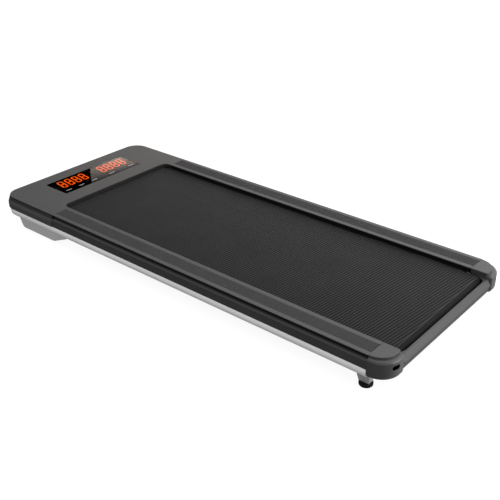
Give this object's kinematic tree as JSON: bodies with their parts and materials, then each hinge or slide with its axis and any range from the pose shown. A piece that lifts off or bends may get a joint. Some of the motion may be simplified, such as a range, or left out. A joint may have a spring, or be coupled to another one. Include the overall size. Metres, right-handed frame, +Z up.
{
  "type": "treadmill",
  "caption": "Flat walking treadmill: black belt between two foot rails, grey front hood with a lit digit display, silver frame, rounded rear caps, levelling feet and transport wheels.",
  "frame": {"origin": "centre of the footprint, at floor level under the feet", "axes": "+X towards the rear end of the belt, -X towards the display that the walker faces, +Z up, -Y the walker's left"},
  "size_m": [1.31, 0.54, 0.09],
  "materials": {
    "dark_shell": "dark grey moulded plastic, fine matt grain",
    "silver_frame": "silver powder coat, fine flake",
    "silver_shell": "silver-grey moulded plastic",
    "black_steel": "black powder coat",
    "insert_rubber": "dark ribbed anti-slip rubber",
    "belt_rubber": "black PVC belt with a fine diamond weave",
    "deck_board": "waxed medium-density fibreboard",
    "cushion_rubber": "black moulded rubber",
    "zinc_steel": "zinc plated steel",
    "bright_steel": "turned steel",
    "black_plastic": "black nylon",
    "lens_glass": "smoked acrylic window",
    "led_orange": "lit orange digit segments",
    "circuit_board": "green circuit board",
    "component_plastic": "moulded component bodies",
    "bare_aluminium": "bare extruded aluminium",
    "cast_metal": "cast flywheel",
    "motor_paint": "black painted motor can",
    "contact_brass": "plated brass contacts",
    "button_white": "white reset button",
    "wire_sleeve": "red and black wire sleeves"
  },
  "bodies": {
    "frame": {"hood_shell": "dark_shell", "foot_rail_left": "dark_shell", "foot_rail_right": "dark_shell", "end_cap_left": "dark_shell", "end_cap_right": "dark_shell", "rear_cover_bar": "dark_shell", "side_rail_left": "silver_frame", "side_rail_right": "silver_frame", "front_rail": "silver_frame", "foot_brackets": "silver_frame", "wheel_brackets": "silver_frame", "belly_pan": "silver_shell", "cross_members": "black_steel", "motor_tray": "black_steel", "motor_clamps": "black_steel", "front_axle_mounts": "black_steel", "tension_brackets": "black_steel", "foot_rail_insert_left": "insert_rubber", "foot_rail_insert_right": "insert_rubber", "walking_belt": "belt_rubber", "deck_board": "deck_board", "deck_cushions": "cushion_rubber", "front_feet": "cushion_rubber", "drive_belt": "cushion_rubber", "deck_screws": "zinc_steel", "belly_pan_screws": "zinc_steel", "wheel_axles": "zinc_steel", "front_axle": "bright_steel", "power_inlet": "black_plastic", "switch_housing": "black_plastic", "breaker_housing": "black_plastic", "led_modules": "black_plastic", "display_lens": "lens_glass", "led_segments": "led_orange", "display_board": "circuit_board", "controller_board": "circuit_board", "controller_parts": "component_plastic", "controller_heatsink": "bare_aluminium", "motor_housing": "motor_paint", "inlet_pins": "contact_brass", "wiring_loom": "wire_sleeve"},
    "motor_rotor": {"motor_rotor": "bright_steel", "motor_pulley": "bare_aluminium", "motor_flywheel": "cast_metal"},
    "front_drum": {"front_roller": "bright_steel", "front_roller_pulley": "black_plastic", "front_roller_bearings": "bright_steel"},
    "rear_carriage": {"rear_axle": "bright_steel"},
    "rear_drum": {"rear_roller": "bright_steel", "rear_roller_bearings": "bright_steel"},
    "bolt_left": {"tension_bolt_left": "black_steel"},
    "bolt_right": {"tension_bolt_right": "black_steel"},
    "foot_screw_left": {"foot_stud_left": "zinc_steel"},
    "foot_left": {"foot_pad_left": "cushion_rubber"},
    "foot_screw_right": {"foot_stud_right": "zinc_steel"},
    "foot_right": {"foot_pad_right": "cushion_rubber"},
    "wheel_left": {"transport_wheel_left": "black_plastic"},
    "wheel_right": {"transport_wheel_right": "black_plastic"},
    "rocker": {"power_rocker": "black_plastic"},
    "reset_button": {"breaker_button": "button_white"}
  },
  "joints": [
    {"name": "front_drum_spin", "type": "hinge", "parent": "frame", "child": "front_drum", "pos_m": [-0.478, 0, 0.0549], "axis": [0, 1, 0], "continuous": true},
    {"name": "motor_spin", "type": "hinge", "parent": "frame", "child": "motor_rotor", "pos_m": [-0.545, 0, 0.045], "axis": [0, 1, 0], "continuous": true},
    {"name": "belt_tension", "type": "slide", "parent": "frame", "child": "rear_carriage", "axis": [1, 0, 0], "range_m": [-0.01, 0]},
    {"name": "rear_drum_spin", "type": "hinge", "parent": "rear_carriage", "child": "rear_drum", "pos_m": [0.616, 0, 0.0549], "axis": [0, 1, 0], "continuous": true},
    {"name": "bolt_left_turn", "type": "hinge", "parent": "frame", "child": "bolt_left", "pos_m": [0.62, -0.233, 0.067], "axis": [-1, 0, 0], "range_deg": [-3600.5, 0]},
    {"name": "bolt_right_turn", "type": "hinge", "parent": "frame", "child": "bolt_right", "pos_m": [0.62, 0.233, 0.067], "axis": [-1, 0, 0], "range_deg": [-3600.5, 0]},
    {"name": "foot_left_height", "type": "slide", "parent": "frame", "child": "foot_screw_left", "axis": [0, 0, 1], "range_m": [-0.008, 0]},
    {"name": "foot_left_turn", "type": "hinge", "parent": "foot_screw_left", "child": "foot_left", "pos_m": [0.5905, -0.246, 0.005], "axis": [0, 0, 1], "range_deg": [-2304.5, 0]},
    {"name": "foot_right_height", "type": "slide", "parent": "frame", "child": "foot_screw_right", "axis": [0, 0, 1], "range_m": [-0.008, 0]},
    {"name": "foot_right_turn", "type": "hinge", "parent": "foot_screw_right", "child": "foot_right", "pos_m": [0.5905, 0.246, 0.005], "axis": [0, 0, 1], "range_deg": [-2304.5, 0]},
    {"name": "wheel_left_spin", "type": "hinge", "parent": "frame", "child": "wheel_left", "pos_m": [-0.628, -0.15, 0.017], "axis": [0, 1, 0], "continuous": true},
    {"name": "wheel_right_spin", "type": "hinge", "parent": "frame", "child": "wheel_right", "pos_m": [-0.628, 0.15, 0.017], "axis": [0, 1, 0], "continuous": true},
    {"name": "power_rocker_tilt", "type": "hinge", "parent": "frame", "child": "rocker", "pos_m": [-0.6465, 0.128, 0.071], "axis": [0, 1, 0], "range_deg": [0, 16]},
    {"name": "reset_button_travel", "type": "slide", "parent": "frame", "child": "reset_button", "axis": [-1, 0, 0], "range_m": [0, 0.003]}
  ],
  "couplings": [
    {"joint": "rear_drum_spin", "follows": "front_drum_spin", "ratio": 1},
    {"joint": "motor_spin", "follows": "front_drum_spin", "ratio": 2.3636},
    {"joint": "bolt_left_turn", "follows": "belt_tension", "rad_per_m": 6283.2},
    {"joint": "bolt_right_turn", "follows": "belt_tension", "rad_per_m": 6283.2},
    {"joint": "foot_left_turn", "follows": "foot_left_height", "rad_per_m": 5026.5},
    {"joint": "foot_right_turn", "follows": "foot_right_height", "rad_per_m": 5026.5}
  ]
}
